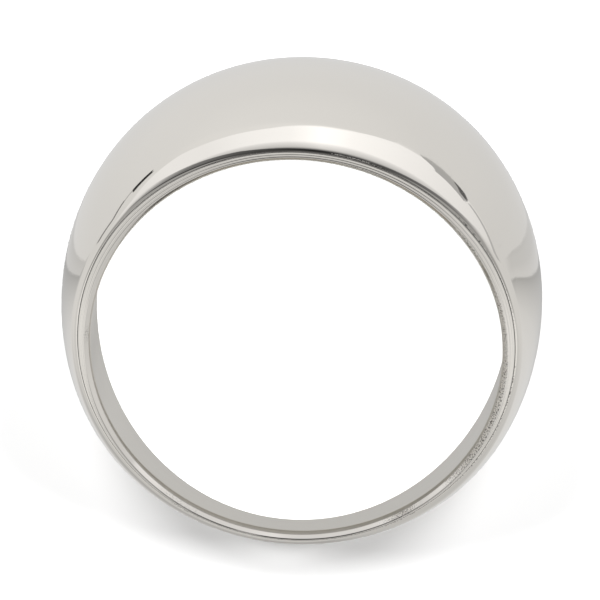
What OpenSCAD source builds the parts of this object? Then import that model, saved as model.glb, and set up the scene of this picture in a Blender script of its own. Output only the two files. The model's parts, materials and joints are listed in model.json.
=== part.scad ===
// Cigar band ring: one solid hoop with a broad domed top that tapers to a slim shank.
// It lies on its side, on the rim of its narrow edge, with the dome towards +Y.
// The origin is the point where the axis of the finger hole meets the resting rim.

/* [Finger hole] */
// Inside diameter of the ring
finger_hole_d = 17.3; // [15:0.1:21]
// Bevel where the hole meets each rim, beside the dome
bevel_top = 0.12; // [0.06:0.02:0.2]
// The same bevel at either side
bevel_side = 0.26; // [0.1:0.02:0.34]
// The same bevel at the back of the shank
bevel_bottom = 0.32; // [0.1:0.02:0.34]

/* [Width] */
// Width of the band along the finger, over the dome
width_top = 13.4; // [11:0.1:15]
// Width of the band along the finger, at the back of the shank
width_bottom = 2.8; // [2.4:0.1:4]

/* [Wall] */
// Thickness of the metal at the middle of the dome
wall_top = 2.38; // [2:0.02:2.8]
// Thickness of the metal at either side
wall_side = 1.38; // [1.2:0.02:1.6]
// Thickness of the metal at the back of the shank
wall_bottom = 0.68; // [0.6:0.02:0.9]
// Extra thickness midway between top, sides and back, which fills out the curve
wall_fullness = 0.14; // [0:0.01:0.2]

/* [Rim] */
// Thickness of the flat rim beside the dome
rim_top = 0.54; // [0.44:0.02:0.6]
// Thickness of the flat rim at either side
rim_side = 0.62; // [0.5:0.02:0.7]
// Thickness of the flat rim at the back of the shank
rim_bottom = 0.44; // [0.4:0.02:0.46]
// Extra thickness of the rim at the shoulders, which it lacks nearer the back
rim_fullness = 0.08; // [0:0.01:0.1]

/* [Shoulder of the dome] */
// How far the dome's edge stands above the rim because of the steep flank, at the middle
flank_height = 0.5; // [0.2:0.01:0.7]
// The same height at the sides and the back, where the flank is a narrow strip
strip_height = 0.1; // [0.04:0.01:0.12]
// Steepness of the flank, as its rise for each millimetre of width
flank_slope = 0.9; // [0.7:0.1:2]
// Angle from the top of the dome at which the flank has shrunk to that strip
flank_reach = 58; // [50:1:80]
// How long the flank keeps its height before it shrinks: a larger value keeps it longer
flank_fade = 2.6; // [1.5:0.1:4]
// Height over which the flank rolls into the dome
shoulder_blend = 0.12; // [0.04:0.02:0.3]

/* [Hidden] */

hole_r = finger_hole_d / 2;
half_side = (width_top + width_bottom) / 4;
rim_slope = (width_top - width_bottom) / (2 * finger_hole_d);
rim_tilt = atan(rim_slope);

// Stations around the hoop, and steps of the section from rim to rim
STATIONS = 96;
STEPS = 32;
// How far the raw hoop stands past each rim plane and into the hole before it is cut
OVER = 0.05;
STOCK = 0.3;
CUT = 60;

// A value that passes through its figures for the top, the sides and the back
function around(t, top, side, back) =
    (top + 2 * side + back) / 4
    + (top - back) / 2 * cos(t)
    + (top - 2 * side + back) / 4 * cos(2 * t);

function crest(t) =
    hole_r + around(t, wall_top, wall_side, wall_bottom)
    + wall_fullness * (1 - cos(4 * t)) / 2;

function rim_edge(t) =
    hole_r + around(t, rim_top, rim_side, rim_bottom)
    + rim_fullness * sin(t) * sin(2 * t);

function bevel(t) = around(t, bevel_top, bevel_side, bevel_bottom);

// Angle from the top of the dome, the short way round
function from_top(t) = t > 180 ? 360 - t : t;

function flank(t) =
    strip_height
    + (flank_height - strip_height)
    * (1 - pow(min(1, from_top(t) / flank_reach), flank_fade));

// Half the width of the band at radius r: both rims are flat and lean together at the back
function half_width(t, r) = half_side + rim_slope * r * cos(t);

// The lower of two slopes, rolled into each other over a blend length
function blend(a, b, k) =
    let (f = max(0, min(1, 0.5 + 0.5 * (b - a) / k)))
    b * (1 - f) + a * f - k * f * (1 - f);

// Radius of the outer skin at distance w from the middle of the band
function skin(t, w) =
    let (
        edge = rim_edge(t),
        half = half_width(t, edge),
        step = flank(t),
        drop = crest(t) - edge - step,
        dome = crest(t) - drop * pow(w / half, 2),
        side = edge + (half - abs(w)) * flank_slope
    )
    blend(dome, side, min(shoulder_blend, step));

// One closed section of the raw hoop, as [radius, w] pairs: the skin from the
// resting rim to the other, then back through the hole with a bevel at each end
function section(t) =
    let (
        half = half_width(t, rim_edge(t)),
        bevel_r = hole_r + bevel(t),
        bevel_w = half_width(t, bevel_r),
        inner_w = half_width(t, hole_r) - bevel(t) - STOCK
    )
    concat(
        [[skin(t, half + OVER), -half - OVER]],
        [for (i = [0:STEPS]) let (w = half * sin(90 * (2 * i / STEPS - 1))) [skin(t, w), w]],
        [
            [skin(t, half + OVER), half + OVER],
            [bevel_r + OVER, bevel_w + OVER],
            [hole_r - STOCK, inner_w],
            [hole_r - STOCK, -inner_w],
            [bevel_r + OVER, -bevel_w - OVER]
        ]
    );

// The hoop swept round the hole, before its rims and its hole are cut
module raw_hoop() {
    sections = [for (s = [0:STATIONS - 1]) section(360 * s / STATIONS)];
    n = len(sections[0]);
    points = [
        for (s = [0:STATIONS - 1]) let (t = 360 * s / STATIONS)
        for (p = sections[s]) [p[0] * sin(t), p[0] * cos(t), p[1]]
    ];
    faces = [
        for (s = [0:STATIONS - 1], i = [0:n - 1])
        let (
            a = s * n + i,
            b = s * n + (i + 1) % n,
            c = ((s + 1) % STATIONS) * n + (i + 1) % n,
            d = ((s + 1) % STATIONS) * n + i
        )
        each [[a, d, c], [a, c, b]]
    ];
    polyhedron(points, faces, convexity = 6);
}

// Everything beyond the flat rim on the +Z side
module rim_cut() {
    translate([0, 0, half_side])
        rotate([rim_tilt, 0, 0])
            translate([-CUT / 2, -CUT / 2, 0])
                cube([CUT, CUT, CUT]);
}

// The finished ring about its own axis, with the dome towards +Y
module ring() {
    difference() {
        raw_hoop();
        cylinder(h = CUT, r = hole_r, center = true, $fn = 180);
        rim_cut();
        mirror([0, 0, 1]) rim_cut();
    }
}

module band() {
    color([0.78, 0.77, 0.74])
        rotate([rim_tilt, 0, 0])
            translate([0, 0, half_side])
                ring();
}

band();
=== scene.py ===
import json
import math

import bpy
from mathutils import Matrix, Vector


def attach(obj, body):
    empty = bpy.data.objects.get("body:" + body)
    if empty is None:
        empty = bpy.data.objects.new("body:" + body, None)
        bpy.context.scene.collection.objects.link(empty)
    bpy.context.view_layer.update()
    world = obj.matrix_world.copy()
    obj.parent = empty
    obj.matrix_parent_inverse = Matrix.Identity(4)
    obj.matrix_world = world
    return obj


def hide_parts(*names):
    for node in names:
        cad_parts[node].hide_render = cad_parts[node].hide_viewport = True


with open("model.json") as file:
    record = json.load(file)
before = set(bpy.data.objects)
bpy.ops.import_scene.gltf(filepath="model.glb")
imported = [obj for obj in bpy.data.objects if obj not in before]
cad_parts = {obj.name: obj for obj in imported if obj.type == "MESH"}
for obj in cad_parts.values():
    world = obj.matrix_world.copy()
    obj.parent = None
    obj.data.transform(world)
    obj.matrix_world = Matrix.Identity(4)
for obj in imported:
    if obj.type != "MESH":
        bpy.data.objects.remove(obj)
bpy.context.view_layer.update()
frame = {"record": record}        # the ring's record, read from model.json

# A plain domed silver band ring, which lies on its side on a pale studio floor.
# The ring is built again here as a fine mesh from the same formulas as the solid,
# with rounded edges, because polished metal shows every facet.

MM = 0.001


# The ring's own axes: across (+X), towards the dome, and along the finger

mounts = {m["name"]: m for m in frame["record"]["mounts"]}
CENTRE = Vector(mounts["finger_hole"]["pos_m"])
FINGER = Vector(mounts["finger_hole"]["axis"]).normalized()
RIGHT = Vector((1, 0, 0))
DOME = FINGER.cross(RIGHT)


def ring_direction(right, dome, finger):
    """A direction given in the ring's own axes, as a unit vector of the scene."""
    return (right * RIGHT + dome * DOME + finger * FINGER).normalized()


def ring_point(angle, radius, across):
    """A point of the scene, from its angle from the top of the dome, and from its radius
    and its place along the finger in millimetres."""
    away = radius * (math.sin(angle) * RIGHT + math.cos(angle) * DOME)
    return CENTRE + MM * (away + across * FINGER)


# Sizes of the ring in millimetres. Where there are three of them, they are for the top
# of the dome, the sides and the back of the shank

HOLE_R = mounts["finger_hole"]["dims"]["r_mm"]
# Half the width of the band at the sides, and how much the rims spread towards the dome
HALF_SIDE = (CENTRE - Vector(mounts["resting_rim"]["pos_m"])).length / MM
RIM_SLOPE = math.tan(FINGER.angle(-Vector(mounts["resting_rim"]["axis"])))
# Thickness of the metal, a hair less than the solid's so that the mesh keeps inside its
# box, and the extra thickness midway between those three places
WALL = (2.373, 1.371, 0.672)
WALL_FULLNESS = 0.14
# Thickness of the flat rim, and what it gains at the shoulders and lacks nearer the back
RIM = (0.533, 0.62, 0.438)
RIM_FULLNESS = 0.08
# How far the dome's edge stands above the rim: over the steep flank, and elsewhere
FLANK_HEIGHT = 0.5
STRIP_HEIGHT = 0.1
# Steepness of the flank, the angle from the top at which it has shrunk to that strip, and
# how long it keeps its height before it shrinks
FLANK_SLOPE = 0.9
FLANK_REACH = math.radians(58)
FLANK_FADE = 2.6
# Height over which the flank rolls into the dome
SHOULDER_BLEND = 0.12

# The rounding of the rim's outer edge: the angle from the top at which it is back to its
# plain size, how far it reaches up the skin and in over the rim, there and at the top, and
# how closely it hugs the sharp corner
EDGE_REACH = math.radians(75)
EDGE_UP = (0.07, 0.33)
EDGE_IN = (0.09, 0.12)
EDGE_ROUND = 0.8
# The length over which the slope of the skin is taken
SLOPE_RUN = 0.001
# Fine grooves that the turning tool left in the rim: place, width and depth as shares of
# the rim's width
GROOVES = ((0.09, 0.18, 0.05), (0.45, 0.3, 0.045), (0.82, 0.36, 0.06))
# The bevel at the finger hole: its cut, its length along the finger as a share of the cut,
# the share of it that is a flat facet, and how far it runs out into the wall of the hole
BEVEL = (0.15, 0.26, 0.32)
BEVEL_STEEP = (1.1, 1.0, 0.9)
BEVEL_FLAT = (0.6, 0.75, 0.55)
BEVEL_FLARE = (0.02, 0.03, 0.035)

# The mesh: stations round the ring, and steps along one half of a section, over the skin,
# its rounded edge, the rim, the flat and the turn of the bevel, and the wall of the hole
STATIONS = 384
SKIN_STEPS = 52
EDGE_STEPS = 16
RIM_STEPS = 24
FACET_STEPS = 4
TURN_STEPS = 8
WALL_STEPS = 6
# The last steps of the rounded edge are worn. The crease takes up the very last of them
# and the first steps of the rim
WORN_STEPS = 5
CREASE_STEPS = (1, 2)

# The five surfaces of the ring, by their place in the mesh's list of materials
SKIN, FLAT_RIM, WORN_EDGE, HOLE_WALL, CREASE = range(5)


def between_values(pair, share):
    """The first of two values where share is 0, and the second where it is 1."""
    return pair[0] + (pair[1] - pair[0]) * share


def around(angle, top, side, back):
    """A value that passes through its figures for the top, the sides and the back."""
    return (
        (top + 2 * side + back) / 4
        + (top - back) / 2 * math.cos(angle)
        + (top - 2 * side + back) / 4 * math.cos(2 * angle)
    )


def crest(angle):
    """The radius of the outer skin at the middle of the band."""
    fullness = WALL_FULLNESS * (1 - math.cos(4 * angle)) / 2
    return HOLE_R + around(angle, *WALL) + fullness


def rim_edge(angle):
    """The radius of the sharp corner between the skin and the rim."""
    fullness = RIM_FULLNESS * math.sin(angle) * math.sin(2 * angle)
    return HOLE_R + around(angle, *RIM) + fullness


def from_top(angle):
    """The angle from the top of the dome, the short way round."""
    return abs((angle + math.pi) % (2 * math.pi) - math.pi)


def flank(angle):
    """How far the dome's edge stands above the rim."""
    share = 1 - min(1, from_top(angle) / FLANK_REACH) ** FLANK_FADE
    return between_values((STRIP_HEIGHT, FLANK_HEIGHT), share)


def shoulder(angle):
    """1 at the top of the dome, and 0 from the reach of the rounded edge on."""
    return 1 - min(1, from_top(angle) / EDGE_REACH) ** 2


def half_width(angle, radius):
    """Half the width of the band: both rims are flat and lean together at the back."""
    return HALF_SIDE + RIM_SLOPE * radius * math.cos(angle)


def blend(a, b, length):
    """The lower of two slopes, rolled into each other over a length."""
    share = max(0, min(1, 0.5 + 0.5 * (b - a) / length))
    return b * (1 - share) + a * share - length * share * (1 - share)


def skin(angle, across):
    """The radius of the outer skin."""
    edge = rim_edge(angle)
    half = half_width(angle, edge)
    step = flank(angle)
    drop = crest(angle) - edge - step
    dome = crest(angle) - drop * (across / half) ** 2
    side = edge + (half - abs(across)) * FLANK_SLOPE
    return blend(dome, side, min(SHOULDER_BLEND, step))


def turn(start, corner, end, weight, steps):
    """Points of a smooth turn between two places, which leaves and meets them towards the
    corner. A larger weight pulls the turn closer to the corner."""
    points = []
    for i in range(steps + 1):
        share = i / steps
        parts = ((1 - share) ** 2, 2 * share * (1 - share) * weight, share ** 2)
        total = sum(parts)
        points.append(tuple(
            (parts[0] * a + parts[1] * b + parts[2] * c) / total
            for a, b, c in zip(start, corner, end)
        ))
    return points


def between(start, end, steps):
    """Points on the straight line between two places, without its ends."""
    return [
        tuple(a + (b - a) * i / steps for a, b in zip(start, end))
        for i in range(1, steps)
    ]


def groove(place, middle, width):
    """A smooth dip of depth 1 and a given width."""
    away = abs(place - middle) / (width / 2)
    return (1 + math.cos(math.pi * away)) / 2 if away < 1 else 0


def flat_rim(start, end):
    """The rim between its two edges, with the fine grooves of the tool."""
    width = math.dist(start, end)
    points = []
    for i, (radius, across) in enumerate(between(start, end, RIM_STEPS)):
        place = (i + 1) / RIM_STEPS
        depth = width * sum(deep * groove(place, middle, wide) for middle, wide, deep in GROOVES)
        points.append((radius, across - depth))
    return points


def outer_edge(angle):
    """The rounded edge between the skin and the rim, as (radius, across) points."""
    rim_run = RIM_SLOPE * math.cos(angle)
    up = between_values(EDGE_UP, shoulder(angle))
    inward = between_values(EDGE_IN, shoulder(angle)) / math.hypot(1, rim_run)
    across = half_width(angle, rim_edge(angle)) - up
    start = (skin(angle, across), across)
    fall = (start[0] - skin(angle, across - SLOPE_RUN)) / SLOPE_RUN
    # Where the skin's own slope meets the rim
    reach = (half_width(angle, start[0]) - across) / (1 - rim_run * fall)
    corner = (start[0] + fall * reach, across + reach)
    end = (corner[0] - inward, corner[1] - inward * rim_run)
    return turn(start, corner, end, EDGE_ROUND, EDGE_STEPS)


def inner_edge(angle):
    """The bevel between the rim and the finger hole, from the rim inwards."""
    cut = around(angle, *BEVEL)
    start = (HOLE_R + cut, half_width(angle, HOLE_R + cut))
    corner = (HOLE_R, start[1] - cut * around(angle, *BEVEL_STEEP))
    end = (HOLE_R, corner[1] - around(angle, *BEVEL_FLARE))
    flat = around(angle, *BEVEL_FLAT)
    flat_end = tuple(between_values(pair, flat) for pair in zip(start, corner))
    facet = [start] + between(start, flat_end, FACET_STEPS)
    return facet + turn(flat_end, corner, end, 1, TURN_STEPS)


def half_section(angle):
    """Half of a section, from the middle of the dome over the rim to the middle of the hole.
    Gives the points, and for each step between two of them the surface that it belongs to."""
    edge = outer_edge(angle)
    inner = inner_edge(angle)
    middle = (HOLE_R, 0)
    last = edge[0][1]
    steps = [last * math.sin(i / SKIN_STEPS * math.pi / 2) for i in range(SKIN_STEPS)]
    points = [(skin(angle, across), across) for across in steps]
    points += edge
    points += flat_rim(edge[-1], inner[0])
    points += inner
    points += between(inner[-1], middle, WALL_STEPS)
    points.append(middle)
    surfaces = [SKIN] * (SKIN_STEPS + EDGE_STEPS - WORN_STEPS)
    surfaces += [WORN_EDGE] * (WORN_STEPS - CREASE_STEPS[0])
    surfaces += [CREASE] * sum(CREASE_STEPS)
    surfaces += [FLAT_RIM] * (RIM_STEPS - CREASE_STEPS[1])
    surfaces += [WORN_EDGE] * FACET_STEPS
    surfaces += [HOLE_WALL] * (TURN_STEPS + WALL_STEPS)
    return points, surfaces


def section(angle):
    """The whole section: the upper half, then its mirror image back to the dome."""
    points, surfaces = half_section(angle)
    mirrored = [(radius, -across) for radius, across in points[-2:0:-1]]
    return points + mirrored, surfaces + surfaces[::-1]


def ring_mesh():
    """The band as one closed mesh, whose faces take the material of their surface."""
    places = []
    faces = []
    materials = []
    for station in range(STATIONS):
        angle = 2 * math.pi * station / STATIONS
        points, surfaces = section(angle)
        count = len(points)
        places += [ring_point(angle, *point) for point in points]
        materials += surfaces
        here = station * count
        there = (station + 1) % STATIONS * count
        for i in range(count):
            j = (i + 1) % count
            faces.append((here + i, there + i, there + j, here + j))
    mesh = bpy.data.meshes.new("band")
    mesh.from_pydata(places, [], faces)
    mesh.polygons.foreach_set("material_index", materials)
    mesh.polygons.foreach_set("use_smooth", [True] * len(faces))
    mesh.update()
    return mesh


class Nodes:
    """Adds nodes to one tree, so that a material reads like a formula."""

    def __init__(self, tree):
        self.tree = tree
        tree.nodes.clear()

    def add(self, kind, inputs=None, **settings):
        node = self.tree.nodes.new(kind)
        for name, value in settings.items():
            setattr(node, name, value)
        for name, value in (inputs or {}).items():
            self.feed(node.inputs[name], value)
        return node

    def feed(self, socket, value):
        """Links a socket to another one, or sets it to a constant."""
        if isinstance(value, bpy.types.NodeSocket):
            self.tree.links.new(value, socket)
        else:
            socket.default_value = value

    def feed_all(self, node, values):
        for socket, value in zip(node.inputs, values):
            self.feed(socket, value)

    def math(self, operation, *values):
        node = self.add("ShaderNodeMath", operation=operation)
        self.feed_all(node, values)
        return node.outputs[0]

    def plus(self, a, b):
        return self.math("ADD", a, b)

    def minus(self, a, b):
        return self.math("SUBTRACT", a, b)

    def times(self, a, b):
        return self.math("MULTIPLY", a, b)

    def vector(self, operation, *values):
        node = self.add("ShaderNodeVectorMath", operation=operation)
        self.feed_all(node, values)
        number = operation in ("LENGTH", "DOT_PRODUCT")
        return node.outputs["Value" if number else "Vector"]

    def scaled(self, vector, scale):
        node = self.add("ShaderNodeVectorMath", {"Scale": scale}, operation="SCALE")
        self.feed(node.inputs[0], vector)
        return node.outputs["Vector"]

    def map_range(self, kind, values):
        node = self.add("ShaderNodeMapRange", interpolation_type=kind)
        self.feed_all(node, values)
        return node.outputs[0]

    def step(self, value, start, end, low=0.0, high=1.0):
        """A smooth step from low to high as the value goes from start to end."""
        return self.map_range("SMOOTHSTEP", (value, start, end, low, high))

    def ramp(self, value, start, end, low=0.0, high=1.0):
        """A straight run from low to high as the value goes from start to end."""
        return self.map_range("LINEAR", (value, start, end, low, high))

    def mix(self, share, a, b):
        """a where share is 0 and b where it is 1."""
        node = self.add("ShaderNodeMix", data_type="FLOAT")
        self.feed(node.inputs[0], share)
        self.feed(node.inputs[2], a)
        self.feed(node.inputs[3], b)
        return node.outputs[0]

    def curve(self, value, points):
        """A line through (position, height) points."""
        low = points[0][0]
        high = points[-1][0]
        node = self.add("ShaderNodeValToRGB")
        self.feed(node.inputs[0], self.ramp(value, low, high))
        stops = node.color_ramp.elements
        for at, _ in points[1:-1]:
            stops.new((at - low) / (high - low))
        for stop, (_, height) in zip(stops, points):
            stop.color = (height, height, height, 1)
        return node.outputs[0]

    def signed_curve(self, value, points):
        """A line through (position, height) points, some of whose heights are below 0."""
        size = max(abs(height) for _, height in points)
        lifted = self.curve(value, [(at, 0.5 + height / (2 * size)) for at, height in points])
        return self.times(self.minus(lifted, 0.5), 2 * size)


# The camera, fitted to the outline, hole and rim lines of the photograph.
# Angles are in the ring's own axes, and pixels are those of the 600 by 600 frame.

PHOTO_PX = 600
PX_PER_MM = 23.876
RING_CENTRE_PX = (299.992, 324.216)
CAMERA_AZIMUTH = math.radians(1.242)
CAMERA_ELEVATION = math.radians(13.642)
CAMERA_ROLL = math.radians(-4.635)
# In metres: how far away it stands, and the nearest and farthest that it sees
CAMERA_AWAY = 0.3
CAMERA_NEAR = 0.01
CAMERA_FAR = 2


def camera_axes():
    """The directions of the picture's right and up, and from the ring to the camera."""
    level = math.cos(CAMERA_ELEVATION)
    to_camera = ring_direction(
        math.sin(CAMERA_AZIMUTH) * level,
        math.sin(CAMERA_ELEVATION),
        math.cos(CAMERA_AZIMUTH) * level,
    )
    plain_right = DOME.cross(to_camera).normalized()
    plain_up = to_camera.cross(plain_right)
    right = math.cos(CAMERA_ROLL) * plain_right - math.sin(CAMERA_ROLL) * plain_up
    up = math.sin(CAMERA_ROLL) * plain_right + math.cos(CAMERA_ROLL) * plain_up
    return right, up, to_camera


def picture_point(x, y):
    """The place that shows at a pixel of the picture, at the depth of the ring's centre."""
    right, up, _ = camera_axes()
    aside = (x - RING_CENTRE_PX[0]) / PX_PER_MM * MM
    above = (RING_CENTRE_PX[1] - y) / PX_PER_MM * MM
    return CENTRE + aside * right + above * up


def make_camera():
    """A long view with no perspective, like the photograph's."""
    data = bpy.data.cameras.new("camera")
    data.type = "ORTHO"
    data.ortho_scale = PHOTO_PX / PX_PER_MM * MM
    data.clip_start = CAMERA_NEAR
    data.clip_end = CAMERA_FAR
    camera = bpy.data.objects.new("camera", data)
    bpy.context.scene.collection.objects.link(camera)
    right, up, to_camera = camera_axes()
    place = picture_point(PHOTO_PX / 2, PHOTO_PX / 2) + CAMERA_AWAY * to_camera
    rows = zip(right, up, to_camera, place)
    camera.matrix_world = Matrix([*rows, (0, 0, 0, 1)])
    bpy.context.scene.camera = camera


# Materials

SILVER = (0.87, 0.839, 0.786, 1)
SATIN = (0.87, 0.838, 0.772, 1)
FLOOR_COLOUR = (0.9, 0.9, 0.9, 1)

# Noise, as its cells to the metre and its detail
BUFFING = (12000.0, 2.0)
SCRATCHES = (1400.0, 1.0)
PATCHES = (500.0, 3.0)
PITS = (15000.0, 2.0)
WEAR = (260.0, 1.0)
# Noise of the crease's painted shade, and of its roughness and relief
CREASE_SHADE_NOISE = (700.0, 3.0)
# Noise that runs in streaks, as its cells to the metre across the streaks and along them.
# Both go into the place that it is read at, so its own scale is 1
RINGS = (16000.0, 60.0)
BRUSHING = (20000.0, 200.0)
DIAGONAL = (0.577, 0.577, 0.577)
STREAKS = (1.0, 3.0)
# The part of its range that a noise mostly keeps to
NOISE_RANGE = (0.3, 0.7)

# Roughness where a surface's pattern is low and where it is high
SKIN_ROUGH = (0.02, 0.05)
RIM_ROUGH = (0.06, 0.14)
WORN_ROUGH = (0.05, 0.18)
CREASE_ROUGH = (0.2, 0.1)
SATIN_ROUGH = (0.28, 0.36)
# Height of the relief, in metres
SKIN_RELIEF = 0.0000005
RIM_RELIEF = 0.000004
WORN_RELIEF = 0.000009
CREASE_RELIEF = 0.000002
SATIN_RELIEF = 0.000003

# The share of the place along the finger that the buffed skin's noise sees, which makes its
# marks longer that way
BUFFING_ALONG = 0.12
# A scratch is where its noise is near the middle: how near, and its depth beside the buffing's
SCRATCH_WIDTH = 0.004
SCRATCH_DEPTH = 0.3
# The direction from the hole in which the edges are the most worn, what is added to the
# noise of the wear at the opposite side and at that side, and where wear starts and is full
WORN_SIDE = 0.9 * RIGHT + 0.43 * DOME
WORN_MORE = (-0.14, 0.1)
WORN_FROM = (0.48, 0.62)
# Pits are darker from the first of these values of their noise down to the second, where
# they keep only this share of their light
PIT_DARK = (0.48, 0.42)
PIT_LIGHT = 0.3
# The share of its colour that the crease keeps under its painted shade, where that shade is the
# darkest and the lightest, and the part of the noise's range between them
CREASE_PAINTED_SHADE = (0.04, 0.26)
CREASE_SHADE_RANGE = (0.35, 0.65)
# The share of its colour that the wall of the hole keeps under its painted shade, where that
# shade is the darkest and the lightest, and the direction from the hole in which it is the
# lightest
HOLE_WALL_PAINTED_SHADE = (0.72, 0.96)
LEAST_SHADED_SIDE = -0.6 * RIGHT + 0.8 * DOME


class Silver(Nodes):
    """A silver material, with the places that its patterns need."""

    def __init__(self, name):
        self.material = bpy.data.materials.new(name)
        self.material.use_nodes = True
        super().__init__(self.material.node_tree)
        place = self.add("ShaderNodeTexCoord").outputs["Object"]
        self.place = self.vector("SUBTRACT", place, CENTRE)
        self.across = self.vector("DOT_PRODUCT", self.place, FINGER)
        self.spoke = self.vector("SUBTRACT", self.place, self.scaled(FINGER, self.across))
        self.radius = self.vector("LENGTH", self.spoke)

    def squeezed(self, share):
        """The place on the ring, squeezed along the finger, so that noise runs that way."""
        return self.vector("ADD", self.spoke, self.scaled(FINGER * share, self.across))

    def noise(self, place, scale, detail):
        node = self.add("ShaderNodeTexNoise", {"Vector": place})
        node.inputs["Scale"].default_value = scale
        node.inputs["Detail"].default_value = detail
        return node.outputs[0]

    def streaks(self, run, across, along):
        """Noise that changes quickly with one length and slowly with the place on the ring."""
        slow = self.scaled(self.place, along)
        quick = self.scaled(DIAGONAL, self.times(run, across))
        return self.noise(self.vector("ADD", slow, quick), *STREAKS)

    def over_hole(self, direction, values):
        """Runs from one value to another, from one side of the hole to the other."""
        place = self.vector("DOT_PRODUCT", self.place, direction)
        return self.ramp(place, -HOLE_R * MM, HOLE_R * MM, *values)

    def darkened(self, colour, share):
        """A colour that keeps a share of its light."""
        return self.scaled(colour[:3], share)

    def finish(self, roughness, relief, height, colour=SILVER):
        """Metal with a roughness, a relief of a height in metres and a colour."""
        bumps = self.add("ShaderNodeBump", {"Height": relief})
        bumps.inputs["Distance"].default_value = height
        shader = self.add("ShaderNodeBsdfPrincipled", {"Normal": bumps.outputs[0]})
        shader.inputs["Metallic"].default_value = 1
        self.feed(shader.inputs["Roughness"], roughness)
        self.feed(shader.inputs["Base Color"], colour)
        self.add("ShaderNodeOutputMaterial", {"Surface": shader.outputs[0]})
        return self.material


def polished_silver():
    """The buffed skin: nearly a mirror, with faint marks along the finger and fine scratches."""
    metal = Silver("polished_silver")
    buffed = metal.noise(metal.squeezed(BUFFING_ALONG), *BUFFING)
    off_scratch = metal.math("ABSOLUTE", metal.minus(metal.noise(metal.place, *SCRATCHES), 0.5))
    unscratched = metal.step(off_scratch, 0.0, SCRATCH_WIDTH)
    relief = metal.plus(buffed, metal.times(unscratched, SCRATCH_DEPTH))
    roughness = metal.ramp(metal.noise(metal.place, *PATCHES), *NOISE_RANGE, *SKIN_ROUGH)
    return metal.finish(roughness, relief, SKIN_RELIEF)


def rim_silver():
    """The flat rims, with the fine rings of the turning tool."""
    metal = Silver("rim_silver")
    rings = metal.streaks(metal.radius, *RINGS)
    return metal.finish(metal.ramp(rings, *NOISE_RANGE, *RIM_ROUGH), rings, RIM_RELIEF)


def worn_silver():
    """Both edges of the rim, finely pitted where they are worn, with dark specks in the pits."""
    metal = Silver("worn_silver")
    pits = metal.noise(metal.place, *PITS)
    wear = metal.plus(metal.noise(metal.place, *WEAR), metal.over_hole(WORN_SIDE, WORN_MORE))
    worn = metal.step(wear, *WORN_FROM)
    light = metal.mix(worn, 1.0, metal.step(pits, *PIT_DARK, 1.0, PIT_LIGHT))
    roughness = metal.ramp(worn, 0.0, 1.0, *WORN_ROUGH)
    relief = metal.times(pits, worn)
    return metal.finish(roughness, relief, WORN_RELIEF, metal.darkened(SILVER, light))


def crease_silver():
    """The fine crease between the skin and the rim, with painted shade that darkens it, more in
    places.
    """
    metal = Silver("crease_silver")
    shade_noise = metal.noise(metal.place, *CREASE_SHADE_NOISE)
    # Painted shade: the crease's colour keeps only a few tenths of its light, darker in specks
    colour = metal.darkened(SILVER, metal.ramp(shade_noise, *CREASE_SHADE_RANGE, *CREASE_PAINTED_SHADE))
    roughness = metal.ramp(shade_noise, *NOISE_RANGE, *CREASE_ROUGH)
    return metal.finish(roughness, shade_noise, CREASE_RELIEF, colour)


def satin_silver():
    """The wall of the finger hole, brushed round the finger, with painted shade across the hole.
    """
    metal = Silver("satin_silver")
    brushed = metal.streaks(metal.across, *BRUSHING)
    # Painted shade: the wall's colour darkens from one side of the hole to the other
    colour = metal.darkened(SATIN, metal.over_hole(LEAST_SHADED_SIDE, HOLE_WALL_PAINTED_SHADE))
    roughness = metal.ramp(brushed, *NOISE_RANGE, *SATIN_ROUGH)
    return metal.finish(roughness, brushed, SATIN_RELIEF, colour)


def floor_paper():
    material = bpy.data.materials.new("floor_paper")
    material.use_nodes = True
    nodes = Nodes(material.node_tree)
    shader = nodes.add("ShaderNodeBsdfDiffuse")
    shader.inputs["Color"].default_value = FLOOR_COLOUR
    nodes.add("ShaderNodeOutputMaterial", {"Surface": shader.outputs[0]})
    return material


def make_ring():
    mesh = ring_mesh()
    for make in (polished_silver, rim_silver, worn_silver, satin_silver, crease_silver):
        mesh.materials.append(make())
    ring = bpy.data.objects.new("band_surface", mesh)
    bpy.context.scene.collection.objects.link(ring)
    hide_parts("band")
    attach(ring, "root")


# The floor: its radius in metres and the number of its sides
FLOOR_R = 0.7
FLOOR_SIDES = 96


def make_floor():
    """A round pale floor. The polished metal mirrors the studio's table in its place."""
    turns = [2 * math.pi * i / FLOOR_SIDES for i in range(FLOOR_SIDES)]
    rim = [(FLOOR_R * math.cos(angle), FLOOR_R * math.sin(angle), 0) for angle in turns]
    mesh = bpy.data.meshes.new("floor")
    mesh.from_pydata(rim, [], [range(FLOOR_SIDES)])
    mesh.materials.append(floor_paper())
    floor = bpy.data.objects.new("floor", mesh)
    floor.visible_glossy = False
    bpy.context.scene.collection.objects.link(floor)


# The studio that the metal mirrors, as it is seen from the ring. Heights and directions are
# in degrees, and directions are counted from the camera. Places to the right and places
# towards the camera are on a unit dome round the ring. Brightness 1 is plain white

# The studio's up, about 11 degrees from the dome's direction, because the photographed ring
# stands with its dome up
STUDIO_UP = ring_direction(-0.0745, 1, -0.187)

# The table's far edge: its height, by the direction to either side
TABLE_EDGE = (
    (90, 6),
    (120, 5),
    (135, 3.3),
    (140, 2.2),
    (146, 1.15),
    (152, 0.35),
    (160, -0.5),
    (171, -1.6),
    (180, -2.6),
)
# Brightness of the table and of the low wall behind it, by the height over that edge
TABLE_LIGHT = (
    (-90, 0.58),
    (-45, 0.56),
    (-28, 0.64),
    (-14, 0.73),
    (-8, 0.73),
    (-5, 0.685),
    (-3, 0.61),
    (-2, 0.565),
    (-1, 0.51),
    (-0.3, 0.46),
    (0, 0.43),
)
LOW_WALL_LIGHT = ((0, 0.66), (1, 0.65), (2.5, 0.60), (4, 0.595), (5, 0.57))
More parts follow.
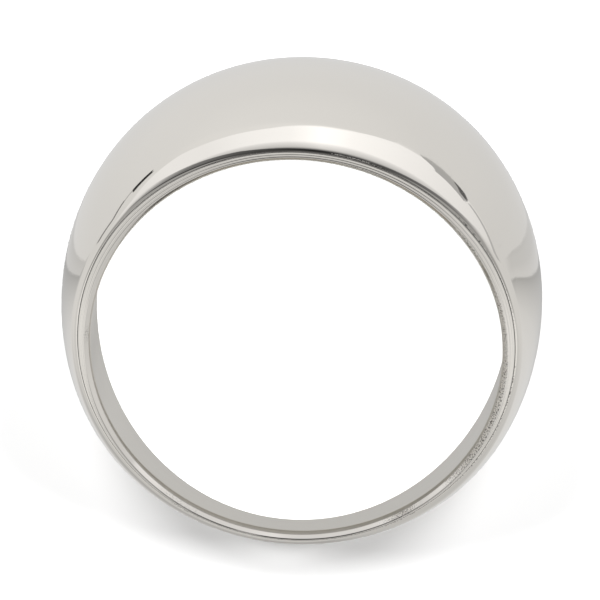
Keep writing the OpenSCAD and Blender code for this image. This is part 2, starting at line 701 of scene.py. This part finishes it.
# How much darker the table is at most, near the ring at the left and straight behind it, and
# the places, directions and heights over the edge between which that sets in
TABLE_DIM = 0.2
DIM_LEFT = (0.15, -0.35)
DIM_LEFT_BELOW = (-10, -45)
DIM_BEHIND = (162, 176)
DIM_BEHIND_BELOW = (-8, -20)
# The top of the low wall: its height over the table's edge, by the place to the right
LOW_WALL_TOP = (
    (-1, 2.5),
    (-0.7, 2.6),
    (-0.35, 2.4),
    (-0.15, 2.0),
    (0.1, 2.1),
    (0.26, 3.3),
    (0.34, 4.1),
    (0.5, 5.0),
    (0.65, 5.2),
    (1, 4.5),
)
# Brightness of the walls above, by height
WALLS = (
    (-90, 0.56),
    (-30, 0.66),
    (-15, 0.735),
    (3, 0.705),
    (12, 0.71),
    (25, 0.74),
    (40, 0.755),
    (52, 0.785),
    (65, 0.80),
    (78, 0.83),
    (90, 0.85),
)
# Two places to the right, and the share of its brightness that each wall has there
LOW_WALL_SIDES = (-0.3, 0.2, 0.95, 1.01)
WALLS_SIDES = (-0.4, 0.4, 1.025, 0.975)
# How far over the table's edge the low wall begins, and how far over the low wall's top the
# walls above begin: where that starts and where it is full
TABLE_TO_WALL = (0.0, 0.4)
WALL_TO_WALL = (-0.25, 0.35)
# The directions between which the table and the low wall give way to the plain walls
BEHIND_TO_WALLS = (133, 127)

# The big softbox overhead. Its back edge is a line across the ceiling, given as
# (place to the right, place towards the camera)
BOX_EDGE = (
    (-1.0, 0.0),
    (-0.7, -0.01),
    (-0.6, 0.08),
    (-0.5, 0.12),
    (-0.3, 0.14),
    (-0.2, 0.12),
    (-0.1, 0.03),
    (0.0, -0.05),
    (0.1, -0.11),
    (0.2, -0.13),
    (0.3, -0.22),
    (0.35, -0.35),
    (0.42, -0.50),
    (0.6, -0.50),
    (0.7, -0.40),
    (1.0, -0.30),
)
# How soft that edge is, by the place to the right
BOX_SOFT = (
    (-1.0, 0.03),
    (-0.25, 0.03),
    (0.0, 0.08),
    (0.1, 0.14),
    (0.24, 0.14),
    (0.34, 0.03),
    (1.0, 0.03),
)
# Its brightness from its left end to its right end
BOX_LIGHT = (
    (-1.0, 0.85),
    (-0.8, 0.93),
    (-0.6, 0.93),
    (-0.4, 1.01),
    (-0.2, 1.06),
    (-0.1, 1.08),
    (0.0, 1.16),
    (0.1, 1.28),
    (0.2, 1.22),
    (0.3, 1.12),
    (0.5, 1.05),
    (0.7, 0.97),
    (0.9, 0.88),
    (1.0, 0.82),
)
# Two places towards the camera, and the share of that brightness at each
BOX_DEPTH = (-0.5, 0.05, 0.955, 1.0)
# The heights over the horizon between which it fades in
BOX_LOWEST = (2, 12)
# Its light is very slightly cooler than the room's
ROOM_COLOUR = (1.0, 1.0, 1.0, 1)
BOX_COLOUR = (1.0, 1.0, 1.012, 1)

# The room on the camera's side: the places towards the camera between which it sets in, and
# its light as a share of the softbox's, by that place
CAMERA_SIDE = (0.28, 0.34)
ROOM_LIGHT = (
    (0.32, 1.0),
    (0.40, 0.81),
    (0.47, 0.72),
    (0.53, 0.66),
    (0.58, 0.62),
    (0.62, 0.56),
    (0.66, 0.46),
    (0.70, 0.30),
    (0.74, 0.17),
    (0.78, 0.09),
    (0.82, 0.04),
    (1.0, 0.03),
)
# Brightness below the camera, by height
UNDER_LIGHT = (
    (-90, 0.66),
    (-44, 0.64),
    (-37, 0.40),
    (-29, 0.14),
    (-20, 0.09),
    (-5, 0.07),
    (10, 0.06),
    (20, 0.04),
)
# The least brightness there to the sides, and the directions and heights where it sets in
UNDER_SIDES = 0.38
SIDES_FROM = (16, 30)
SIDES_BELOW = (12, 2)
# The brightness far below and to the sides, and the directions and heights where it sets in
UNDER_FAR = 0.86
FAR_FROM = (4, 16)
FAR_BELOW = (-36, -46)

# The dark shape round the camera: the height of its middle, by the direction to the right,
# and its brightness, by the direction to either side
DARK_MIDDLE = (
    (-90, 8),
    (-57, 27),
    (-38, 33),
    (-20, 30),
    (0, 25),
    (25, 19),
    (37, 20),
    (53, 13),
    (75, 0),
    (90, 0),
)
DARK_LIGHT = (
    (0, 0.02),
    (10, 0.04),
    (20, 0.07),
    (30, 0.09),
    (40, 0.13),
    (55, 0.2),
    (70, 0.45),
    (85, 0.62),
)
# How far from that middle, and from the camera, the dark shape ends: where it has gone, and
# where it is full
DARK_HIGH = (13, 10)
DARK_WIDE = (85, 65)
# The heights over its middle between which the space below gives way to the room above
DARK_TO_ROOM = (-2, 2)

# Small things that the skin mirrors, as (middle to the right of the camera, half width,
# lean to the right for each degree of height, lowest, highest, brightness):
# dark flags at both sides with the thin poles that carry them, and a strip lamp beside the camera
SMALL_THINGS = (
    (-110, 6.5, 0, 25, 35, 0.04),
    (-113.5, 2.5, 0, 21, 25.5, 0.45),
    (-115, 3, 0, 8, 21, 0.22),
    (109.8, 18, 0.5, 27, 42.5, 0.44),
    (115.8, 12, 0.5, 27.5, 31.5, 0.12),
    (104, 4, 0, 6, 26, 0.5),
    (11, 4.5, 0, 8, 20, 0.95),
)
# How soft the edges of these things are
THINGS_SOFT = 0.35

# How much of the room's light reaches the floor, and what the camera sees past the floor
ROOM_ON_FLOOR = 0.04
BACKDROP = 1.0


class Studio(Nodes):
    """The light of the studio, by the direction in which the ring sees it."""

    def __init__(self, tree):
        super().__init__(tree)
        _, _, to_camera = camera_axes()
        front = (to_camera - STUDIO_UP * to_camera.dot(STUDIO_UP)).normalized()
        side = STUDIO_UP.cross(front)
        looking = self.add("ShaderNodeTexCoord").outputs["Generated"]
        self.to_side = self.vector("DOT_PRODUCT", looking, side)
        self.to_front = self.vector("DOT_PRODUCT", looking, front)
        upwards = self.vector("DOT_PRODUCT", looking, STUDIO_UP)
        self.height = self.in_degrees(self.math("ARCSINE", upwards))
        self.aside = self.in_degrees(self.math("ARCTAN2", self.to_side, self.to_front))
        self.off = self.math("ABSOLUTE", self.aside)

    def in_degrees(self, angle):
        return self.times(angle, math.degrees(1))

    def table(self, over):
        """The table, by the height over its far edge."""
        left = self.times(self.step(self.to_side, *DIM_LEFT), self.step(over, *DIM_LEFT_BELOW))
        behind = self.times(self.step(self.off, *DIM_BEHIND), self.step(over, *DIM_BEHIND_BELOW))
        light = self.curve(over, TABLE_LIGHT)
        for dim in (left, behind):
            light = self.times(light, self.minus(1.0, self.times(dim, TABLE_DIM)))
        return light

    def table_and_walls(self):
        """The table, the low wall behind it and the walls above."""
        over = self.minus(self.height, self.signed_curve(self.off, TABLE_EDGE))
        over_wall = self.minus(over, self.signed_curve(self.to_side, LOW_WALL_TOP))
        low_wall = self.curve(over, LOW_WALL_LIGHT)
        low_wall = self.times(low_wall, self.ramp(self.to_side, *LOW_WALL_SIDES))
        walls = self.curve(self.height, WALLS)
        walls = self.times(walls, self.ramp(self.to_side, *WALLS_SIDES))
        behind = self.mix(self.step(over, *TABLE_TO_WALL), self.table(over), low_wall)
        behind = self.mix(self.step(over_wall, *WALL_TO_WALL), behind, walls)
        return self.mix(self.step(self.off, *BEHIND_TO_WALLS), behind, walls)

    def softbox(self):
        """Where the softbox overhead is, and its light."""
        past = self.minus(self.to_front, self.signed_curve(self.to_side, BOX_EDGE))
        past = self.math("DIVIDE", past, self.curve(self.to_side, BOX_SOFT))
        where = self.times(self.step(past, -1.0, 1.0), self.step(self.height, *BOX_LOWEST))
        light = self.curve(self.to_side, BOX_LIGHT)
        return where, self.times(light, self.ramp(self.to_front, *BOX_DEPTH))

    def under_camera(self):
        """The space below the camera, which is brighter to the sides and far below."""
        light = self.curve(self.height, UNDER_LIGHT)
        sides = self.times(self.step(self.off, *SIDES_FROM), self.step(self.height, *SIDES_BELOW))
        light = self.mix(sides, light, self.math("MAXIMUM", light, UNDER_SIDES))
        far = self.times(self.step(self.off, *FAR_FROM), self.step(self.height, *FAR_BELOW))
        return self.mix(far, light, UNDER_FAR)

    def with_camera_side(self, light, box_light):
        """Adds the room on the camera's side, and the dark shape round the camera."""
        over_middle = self.minus(self.height, self.signed_curve(self.aside, DARK_MIDDLE))
        room = self.times(box_light, self.curve(self.to_front, ROOM_LIGHT))
        room = self.mix(self.step(over_middle, *DARK_TO_ROOM), self.under_camera(), room)
        light = self.mix(self.step(self.to_front, *CAMERA_SIDE), light, room)
        dark = self.step(self.math("ABSOLUTE", over_middle), *DARK_HIGH)
        dark = self.times(dark, self.step(self.off, *DARK_WIDE))
        return self.mix(dark, light, self.curve(self.off, DARK_LIGHT))

    def with_small_thing(self, light, middle, half_wide, lean, lowest, highest, own_light):
        """Adds one upright or leaning bar, with soft edges."""
        leaning = self.times(self.minus(self.height, lowest), lean)
        away = self.minus(self.minus(self.aside, middle), leaning)
        away = self.math("ABSOLUTE", away)
        where = self.step(away, half_wide + THINGS_SOFT, half_wide - THINGS_SOFT)
        for end, soft in ((lowest, THINGS_SOFT), (highest, -THINGS_SOFT)):
            where = self.times(where, self.step(self.height, end - soft, end + soft))
        return self.mix(where, light, own_light)


def make_world():
    world = bpy.data.worlds.new("studio")
    world.use_nodes = True
    bpy.context.scene.world = world
    studio = Studio(world.node_tree)
    box, box_light = studio.softbox()
    light = studio.mix(box, studio.table_and_walls(), box_light)
    light = studio.with_camera_side(light, box_light)
    for thing in SMALL_THINGS:
        light = studio.with_small_thing(light, *thing)
    path = studio.add("ShaderNodeLightPath").outputs
    light = studio.mix(path["Is Diffuse Ray"], light, ROOM_ON_FLOOR)
    light = studio.mix(path["Is Camera Ray"], light, BACKDROP)
    tint = studio.add("ShaderNodeMix", {"Factor": box}, data_type="RGBA")
    tint.inputs["A"].default_value = ROOM_COLOUR
    tint.inputs["B"].default_value = BOX_COLOUR
    background = studio.add("ShaderNodeBackground", {"Strength": light})
    studio.feed(background.inputs["Color"], tint.outputs["Result"])
    studio.add("ShaderNodeOutputWorld", {"Surface": background.outputs[0]})


# Round soft lamps over the floor, as (name, lean from upright, turn from the dome's side to
# the right, width as seen from the ring, all in degrees, and power in watts). The metal
# doesn't mirror them. They light the floor, and give the ring its two-lobed soft shadow
LAMPS_AWAY = 0.5
LAMPS = (
    ("lamp_left", 48, -40, 34, 2.16),
    ("lamp_right", 48, 40, 34, 2.16),
    ("lamp_low_left", 60, -84, 20, 2.16),
    ("lamp_low_right", 60, 84, 20, 2.16),
)

# A narrow lamp along the camera's view, for the floor that shows through the finger hole:
# how far it stands, its width, how soft its edge is, its power and the pixel that it points at
HOLE_LAMP_AWAY = 0.97
HOLE_LAMP_WIDTH = math.radians(1.03)
HOLE_LAMP_SOFT = 0.05
HOLE_LAMP_POWER = 37
HOLE_LAMP_PX = (299, 328)


def add_lamp(name, data, place, towards):
    """Adds a lamp that the metal doesn't mirror, pointed back along the direction in which
    it stands."""
    lamp = bpy.data.objects.new(name, data)
    lamp.location = place
    lamp.rotation_mode = "QUATERNION"
    lamp.rotation_quaternion = towards.to_track_quat("Z", "Y")
    lamp.visible_glossy = False
    bpy.context.scene.collection.objects.link(lamp)


def make_lamps():
    for name, lean, turned, width, power in LAMPS:
        data = bpy.data.lights.new(name, "AREA")
        data.shape = "DISK"
        data.size = 2 * LAMPS_AWAY * math.tan(math.radians(width / 2))
        data.energy = power
        out = math.sin(math.radians(lean))
        up = math.cos(math.radians(lean))
        round_to = math.radians(turned)
        towards = Vector((out * math.sin(round_to), out * math.cos(round_to), up))
        add_lamp(name, data, LAMPS_AWAY * towards, towards)


def make_hole_lamp():
    data = bpy.data.lights.new("hole_lamp", "SPOT")
    data.spot_size = HOLE_LAMP_WIDTH
    data.spot_blend = HOLE_LAMP_SOFT
    data.shadow_soft_size = 0
    data.energy = HOLE_LAMP_POWER
    _, _, to_camera = camera_axes()
    place = picture_point(*HOLE_LAMP_PX) + HOLE_LAMP_AWAY * to_camera
    add_lamp("hole_lamp", data, place, to_camera)


make_camera()
make_ring()
make_floor()
make_world()
make_lamps()
make_hole_lamp()
bpy.context.scene.view_settings.view_transform = "Standard"
